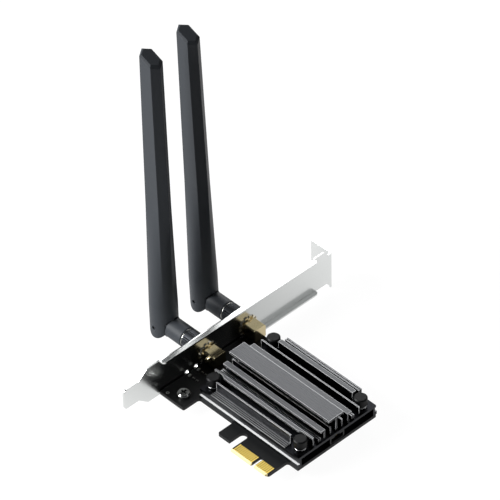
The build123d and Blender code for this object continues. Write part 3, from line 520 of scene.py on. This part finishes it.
def knurled_nut(node):
    """Radius = profile - depth x (1 - ridge round the nut), with no grooves on the lands or ends."""
    low, high = box_mm(node)
    middle = (low + high) / 2
    radius = (high[1] - low[1]) / 2
    front = high[0]
    rear = low[0]
    band = np.linspace(rear + NUT_CHAMFER, front - NUT_CHAMFER, int((front - rear) / KNURL_STEP))
    along = np.concatenate([[rear, rear], band, [front, front, rear + NUT_LIP, rear + NUT_LIP, rear]])
    bore = NUT_BORE / 2
    lip = NUT_LIP_BORE / 2
    flat = radius - NUT_CHAMFER
    reach = np.concatenate([[lip, flat], np.full(len(band), radius), [flat, bore, bore, lip, lip]])
    columns = KNURL_TEETH * POINTS_PER_TOOTH
    turn = np.arange(columns) / columns
    angle = FULL_TURN * turn
    half_sector = 180 / LAND_COUNT
    from_land = np.abs((np.degrees(angle) - LAND_FACING + half_sector) % (2 * half_sector) - half_sector)
    rolled = np.clip((from_land - LAND_WIDTH / 2) / LAND_BLEND, 0, 1)
    plain = NUT_CHAMFER + KNURL_RUNOUT
    ends = np.clip(np.minimum(along - rear - plain, front - plain - along) / KNURL_BLEND, 0, 1)
    outside = (reach == radius) * ends
    grooves = 1 - np.minimum(1, CREST_BREADTH * ridge(turn * KNURL_TEETH))
    r = reach[:, None] - KNURL_DEPTH * (grooves * rolled)[None, :] * outside[:, None]
    x = np.broadcast_to(along[:, None], r.shape)
    y = middle[1] + r * np.cos(angle)[None, :]
    z = middle[2] + r * np.sin(angle)[None, :]
    return np.stack([x, y, z], axis=-1)


for side in ("near", "far"):
    node = "coupling_nut_" + side
    surface("knurled_nut_" + side, [knurled_nut(node)], "dark_nickel", body_of[node], replaced=[node])

# %% [markdown]
# ## Washer between nut and elbow
# A bright turned washer sits on the ferrule in the narrow gap between each nut and its elbow. Its
# rounded rim is what sparkles there, so a plain cylinder wouldn't do. The profile is a flat ring
# that ends in a half circle.

# %% Gap washers
GAP_WASHER_INNER = 2.72
GAP_WASHER_OUTER = 4.30
GAP_WASHER_FIT = 0.02
GAP_WASHER_RIM_POINTS = 13
GAP_WASHER_SIDES = 96


def gap_washer(nut, elbow):
    """A ring that fills the gap: radius and place follow a half circle on the rim, then the bore."""
    rear = box_mm(nut)[0]
    low, high = box_mm(elbow)
    middle = (low + high) / 2
    round_rim = (rear[0] - high[0]) / 2 - GAP_WASHER_FIT
    centre = (rear[0] + high[0]) / 2
    swing = np.linspace(-np.pi / 2, np.pi / 2, GAP_WASHER_RIM_POINTS)
    rim = GAP_WASHER_OUTER - round_rim + round_rim * np.cos(swing)
    reach = np.concatenate([rim, [GAP_WASHER_INNER, GAP_WASHER_INNER]])[:, None]
    along = centre + round_rim * np.concatenate([np.sin(swing), [1, -1]])[:, None]
    angle = np.linspace(0, FULL_TURN, GAP_WASHER_SIDES, endpoint=False)[None, :]
    x = along + 0 * angle
    y = middle[1] + reach * np.cos(angle)
    z = middle[2] + reach * np.sin(angle)
    return np.stack([x, y, z], axis=-1)


for side in ("near", "far"):
    elbow = "antenna_elbow_" + side
    ring = gap_washer("coupling_nut_" + side, elbow)
    surface("gap_washer_" + side, [ring], "bright_nickel", body_of[elbow])

# %% [markdown]
# ## Coil springs under the push pins
# Each push pin presses the heat sink down through a short coil of round wire. A curve with a round
# bevel could make it, but a formula keeps the flat ends exact: a circle, the wire's section, is
# carried along a helix, with the last part of each end pressed flat.

# %% Springs
SPRING_OUTER = 5.0
SPRING_WIRE = 0.45
SPRING_TURNS = 2.4
SPRING_FLAT = 0.4
SPRING_STEPS = 48
SPRING_SIDES = 14
PIN_HEAD = 5.8


def coil(x, y, low, high):
    """A helix from low to high, flat at both ends, with a round section set off outward and upward."""
    turn = np.linspace(0, SPRING_TURNS, int(SPRING_TURNS * SPRING_STEPS) + 1)[:, None]
    share = np.clip((turn - SPRING_FLAT) / (SPRING_TURNS - 2 * SPRING_FLAT), 0, 1)
    height = low + SPRING_WIRE / 2 + (high - low - SPRING_WIRE) * share
    around = np.linspace(0, FULL_TURN, SPRING_SIDES, endpoint=False)[None, :]
    out = SPRING_OUTER / 2 - SPRING_WIRE / 2 + SPRING_WIRE / 2 * np.cos(around)
    angle = FULL_TURN * turn
    up = height + SPRING_WIRE / 2 * np.sin(around)
    return capped(np.stack([x + out * np.cos(angle), y + out * np.sin(angle), up], axis=-1))


low, high = box_mm("push_pin_springs")
pins_low, pins_high = box_mm("push_pins")
coils = [coil(x, y, low[2], high[2])
         for x in (pins_low[0] + PIN_HEAD / 2, pins_high[0] - PIN_HEAD / 2)
         for y in (pins_low[1] + PIN_HEAD / 2, pins_high[1] - PIN_HEAD / 2)]
surface("round_wire_springs", coils, "spring_steel", body_of["push_pin_springs"], ring=False,
        replaced=["push_pin_springs"])

# %% [markdown]
# ## Solder under the board
# Under the board each connector leg stands in a collar of solder that climbs the leg in a hollow
# curve. A cone would look like a nail. A square law gives the hollow slope that wet solder has.

# %% Solder
LEG_SPACING = 5.08
CENTRE_LEG = 0.8
COLLAR_RADIUS = 1.05
COLLAR_HEIGHT = 0.8
COLLAR_TIP = 0.62
COLLAR_INNER = 0.35
COLLAR_STEPS = 12
COLLAR_SIDES = 28


def collar(x, y, top):
    """Solder round a leg: radius = tip + (foot - tip) x (1 - share of height) squared, hollow inside."""
    share = np.linspace(0, 1, COLLAR_STEPS)
    slope = COLLAR_TIP + (COLLAR_RADIUS - COLLAR_TIP) * (1 - share) ** 2
    reach = np.concatenate([slope, [COLLAR_INNER, COLLAR_INNER]])[:, None]
    height = np.concatenate([top - COLLAR_HEIGHT * share, [top - COLLAR_HEIGHT, top]])[:, None]
    angle = np.linspace(0, FULL_TURN, COLLAR_SIDES, endpoint=False)[None, :]
    return np.stack([x + reach * np.cos(angle), y + reach * np.sin(angle), height + 0 * angle], axis=-1)


board_low, board_high = box_mm("board")
collars = []
for side in ("near", "far"):
    pin_low, pin_high = box_mm("connector_centre_pin_" + side)
    leg_x = pin_high[0] - CENTRE_LEG / 2
    leg_y = (pin_low[1] + pin_high[1]) / 2
    steps = (-LEG_SPACING / 2, LEG_SPACING / 2)
    legs = [(leg_x, leg_y)] + [(leg_x + a, leg_y + b) for a in steps for b in steps]
    collars += [collar(x, y, board_low[2]) for x, y in legs]
surface("solder_collars", collars, "shield_steel", "card")

# %% [markdown]
# ## Plated tooling hole
# The small hole beside the screw is plated through: a thin tinned tube with a narrow rim on both
# faces of the board. A painted ring would miss the bright bore, so the whole tube is one closed
# profile carried round the hole.

# %% Plated hole
HOLE_PLACE = (-55.03, 4.44)
HOLE_DIAMETER = 1.0
HOLE_SIDES = 48
HOLE_RIM = 0.22
PLATING = 0.04
PLATING_SUNK = PLATING / 4


def plated_hole(low, high):
    """A tube with a rim at each end, as a closed profile of radius against height."""
    bore = HOLE_DIAMETER / 2 - PLATING
    wall = HOLE_DIAMETER / 2 + PLATING_SUNK
    rim = HOLE_DIAMETER / 2 + HOLE_RIM
    above = high + PLATING
    below = low - PLATING
    reach = np.array([bore, rim, rim, wall, wall, rim, rim, bore])[:, None]
    height = np.array([above, above, high, high, low, low, below, below])[:, None]
    angle = np.linspace(0, FULL_TURN, HOLE_SIDES, endpoint=False)[None, :]
    x = HOLE_PLACE[0] + reach * np.cos(angle)
    y = HOLE_PLACE[1] + reach * np.sin(angle)
    return np.stack([x, y, height + 0 * angle], axis=-1)


surface("plated_hole", [plated_hole(board_low[2], board_high[2])], "shield_steel", "card")

# %% [markdown]
# ## Tinned ends of the small chips
# Resistors and capacitors on the board have tinned ends that wrap round the last part of the body.
# Boxes would have hard edges that dipped tin never has. A superellipse is nearly a rectangle with
# soft corners, and one power sets how square it is.

# %% Tinned chip ends
END_PROUD = 0.02
END_SHARE = 0.24
END_SIDES = 32
END_SQUARENESS = 0.2
END_TAPER = 0.94
RESISTOR = (1.0, 0.6)        # length and width, then columns and rows
RESISTOR_GRID = (2, 2)
CAPACITOR = (1.6, 0.8)
CAPACITOR_GRID = (1, 5)


def chip_end(x_from, x_to, y, width, height, floor):
    """A tinned end: a superellipse, each axis |cosine| or |sine| to a small power, carried along X."""
    x = np.array([x_from, x_from, x_to, x_to])[:, None]
    grow = np.array([END_TAPER, 1.0, 1.0, END_TAPER])[:, None]
    angle = np.linspace(0, FULL_TURN, END_SIDES, endpoint=False)[None, :]
    across = np.sign(np.cos(angle)) * np.abs(np.cos(angle)) ** END_SQUARENESS
    upward = np.sign(np.sin(angle)) * np.abs(np.sin(angle)) ** END_SQUARENESS
    half = width / 2 + END_PROUD
    rise = (height + END_PROUD) / 2
    y = y + grow * half * across
    z = floor + rise + grow * rise * upward
    return capped(np.stack([x + 0 * y, y, z], axis=-1))


def chip_ends(node, length, width, columns, rows):
    """The two ends of every chip of a node that holds a grid of equal chips."""
    low, high = box_mm(node)
    ends = []
    for x in np.linspace(low[0], high[0] - length, columns):
        for y in np.linspace(low[1] + width / 2, high[1] - width / 2, rows):
            size = (y, width, high[2] - low[2], low[2])
            ends.append(chip_end(x - END_PROUD, x + length * END_SHARE, *size))
            ends.append(chip_end(x + length * (1 - END_SHARE), x + length + END_PROUD, *size))
    return ends


tinned = chip_ends("chip_resistors", *RESISTOR, *RESISTOR_GRID)
tinned += chip_ends("chip_capacitors", *CAPACITOR, *CAPACITOR_GRID)
surface("tinned_chip_ends", tinned, "shield_steel", "card", ring=False)

# %% [markdown]
# ## Thread of the bracket screw
# The screw's tail comes out under the bracket's tab. A stack of rings would look like a thread from
# afar, but a real one climbs: its ridge steps along the axis by one pitch in each turn, so the
# ridge's phase is height less turn.

# %% Screw thread
SCREW_DIAMETER = 3.0
THREAD_PITCH = 0.5
THREAD_DEPTH = 0.14
THREAD_INNER = 1.2
THREAD_LENGTH = 1.15
THREAD_START = 0.02
THREAD_PROUD = 0.01
THREAD_STEPS = 48
THREAD_SIDES = 72


def thread(x, y, low, high):
    """Radius = core + depth x ridge(height over pitch - turn), faded out at both ends."""
    height = np.linspace(low, high, THREAD_STEPS)
    turn = np.arange(THREAD_SIDES)[None, :] / THREAD_SIDES
    fade = np.clip(np.minimum(height - low, high - height) / (THREAD_PITCH / 2), 0, 1)[:, None]
    crest = ridge(height[:, None] / THREAD_PITCH - turn)
    outside = SCREW_DIAMETER / 2 + THREAD_PROUD + THREAD_DEPTH * crest * fade
    reach = np.concatenate([outside, np.full((2, THREAD_SIDES), THREAD_INNER)])
    up = np.concatenate([height, [high, low]])[:, None] + 0 * turn
    angle = FULL_TURN * turn
    return np.stack([x + reach * np.cos(angle), y + reach * np.sin(angle), up], axis=-1)


low, high = box_mm("bracket_screw")
middle = (low + high) / 2
tail = thread(middle[0], middle[1], low[2] + THREAD_START, low[2] + THREAD_LENGTH)
surface("screw_thread", [tail], "screw_steel", "card")

# %% [markdown]
# ## White studio floor
# The photograph has a plain white ground with no visible edge. More light would bleach the card
# too, so a large pale floor carries the card's faint shadow, and only to the camera and in mirrors
# it is lifted towards white. In mirrors it carries a painted shadow: its glow is greyer close to
# the card, as if the card kept light off it.

# %% Floor
FLOOR_SIZE = 3.0
FLOOR_GAP = 0.05
PAPER_GREY = "#a8a8a8"
PAPER_LIFT = 0.8
CAMERA_GLOW = 1.2
MIRROR_GLOW = (0.72, 1.12)
CARD_SHADE = (0.02, 0.065)
CARD_MIDDLE = (-0.03, 0.05)
WHITE = (1, 1, 1, 1)
ground = cad_box[0][2] - FLOOR_GAP * MM
material, tree, place = start("pale studio paper")
rays = add(tree, "ShaderNodeLightPath")
seen = add(tree, "ShaderNodeMath", {
    0: rays.outputs["Is Camera Ray"], 1: rays.outputs["Is Glossy Ray"]}, operation="MAXIMUM")
lift = add(tree, "ShaderNodeMath", {0: seen.outputs[0], 1: PAPER_LIFT}, operation="MULTIPLY")
# painted shadow: in mirrors the floor's glow is weaker close to the middle of the card
away = add(tree, "ShaderNodeVectorMath", {0: place, 1: (*CARD_MIDDLE, ground)}, operation="DISTANCE")
mirror_glow_with_painted_shadow = add(tree, "ShaderNodeMapRange", {
    "Value": away.outputs["Value"], "From Min": CARD_SHADE[0], "From Max": CARD_SHADE[1],
    "To Min": MIRROR_GLOW[0], "To Max": MIRROR_GLOW[1]})
glow = add(tree, "ShaderNodeMix", {
    "Factor": rays.outputs["Is Camera Ray"], "A": mirror_glow_with_painted_shadow.outputs["Result"], "B": CAMERA_GLOW})
paper = add(tree, "ShaderNodeBsdfDiffuse", {"Color": linear(PAPER_GREY)})
white = add(tree, "ShaderNodeEmission", {"Color": WHITE, "Strength": glow.outputs[0]})
sheet = add(tree, "ShaderNodeMixShader", {0: lift.outputs[0], 1: paper.outputs[0], 2: white.outputs[0]})
add(tree, "ShaderNodeOutputMaterial", {"Surface": sheet.outputs[0]})
half = FLOOR_SIZE / 2
corners = [(-half, -half, ground), (half, -half, ground), (half, half, ground), (-half, half, ground)]
mesh = bpy.data.meshes.new("studio_floor")
mesh.from_pydata(corners, [], [(0, 1, 2, 3)])
mesh.materials.append(material)
floor = bpy.data.objects.new("studio_floor", mesh)
bpy.context.scene.collection.objects.link(floor)
print("floor at z =", round(ground / MM, 2), "mm")

# %% [markdown]
# ## Soft light
# A big soft light on the left models the blades and their round feet. A weak one behind and above
# greys the flat tops, a low one behind rims the antennas, and a faint one on the right keeps the
# dark sides readable. The room itself is nearly dark, and white only to the camera.

# %% Lights
AIM = (-0.05, 0.035, 0.04)
ROOM_TINT = (0.9, 0.95, 1.0, 1)
ROOM_LIGHT = 0.05


def axes_matrix(right, upright, back, place):
    """The matrix that puts a lamp or camera at a place, with these three directions as its axes."""
    turn = Matrix([[*axis] for axis in zip(right, upright, back)])
    return Matrix.Translation(place) @ turn.to_4x4()


def softbox(name, place, size, power):
    """A square area light at a place, turned to face the aim point."""
    lamp = bpy.data.lights.new(name, "AREA")
    lamp.size = size
    lamp.energy = power
    light = bpy.data.objects.new(name, lamp)
    back = np.array(place) - np.array(AIM)
    back = back / np.linalg.norm(back)
    right = np.cross((0, 0, 1), back)
    right = right / np.linalg.norm(right)
    light.matrix_world = axes_matrix(right, np.cross(back, right), back, place)
    bpy.context.scene.collection.objects.link(light)
    print(name, power, "W")


softbox("key_left", (-0.47, -0.54, 0.39), size=0.5, power=14.5)
softbox("back_top", (-0.55, 0.70, 0.85), size=0.8, power=3.0)
softbox("back_rim", (-0.75, 0.65, 0.22), size=0.6, power=5.0)
softbox("fill_right", (0.65, 0.75, 0.60), size=0.8, power=1.0)

world = bpy.data.worlds.new("white_room")
bpy.context.scene.world = world
world.use_nodes = True
tree = world.node_tree
tree.nodes.clear()
rays = add(tree, "ShaderNodeLightPath")
room = add(tree, "ShaderNodeBackground", {"Color": ROOM_TINT, "Strength": ROOM_LIGHT})
white = add(tree, "ShaderNodeBackground", {"Color": WHITE, "Strength": 1.0})
both = add(tree, "ShaderNodeMixShader", {
    0: rays.outputs["Is Camera Ray"], 1: room.outputs[0], 2: white.outputs[0]})
add(tree, "ShaderNodeOutputWorld", {"Surface": both.outputs[0]})

# %% [markdown]
# ## Camera
# The bracket and the edge connector have standard sizes, so their places in the photograph fix the
# camera: where it stood, where it looked and how long its lens was.

# %% Camera
CAMERA_PLACE = (0.74512, -0.68956, 1.00772)
CAMERA_AZIMUTH = radians(47.15)
CAMERA_ELEVATION = radians(41.29)
CAMERA_ROLL = radians(-1.366)
CAMERA_LENS = 254.8
CAMERA_SENSOR = 36.0
level = np.array((cos(CAMERA_AZIMUTH), sin(CAMERA_AZIMUTH), 0))
flat = cos(CAMERA_ELEVATION)
back = np.array((sin(CAMERA_AZIMUTH) * flat, -cos(CAMERA_AZIMUTH) * flat, sin(CAMERA_ELEVATION)))
right = cos(CAMERA_ROLL) * level + sin(CAMERA_ROLL) * np.cross(back, level)
lens = bpy.data.cameras.new("photo_camera")
lens.lens = CAMERA_LENS
lens.sensor_width = CAMERA_SENSOR
camera = bpy.data.objects.new("photo_camera", lens)
camera.matrix_world = axes_matrix(right, np.cross(back, right), back, CAMERA_PLACE)
bpy.context.scene.collection.objects.link(camera)
bpy.context.scene.camera = camera
bpy.context.scene.view_settings.view_transform = "Standard"
print("camera at", CAMERA_PLACE, "with a lens of", CAMERA_LENS, "mm")
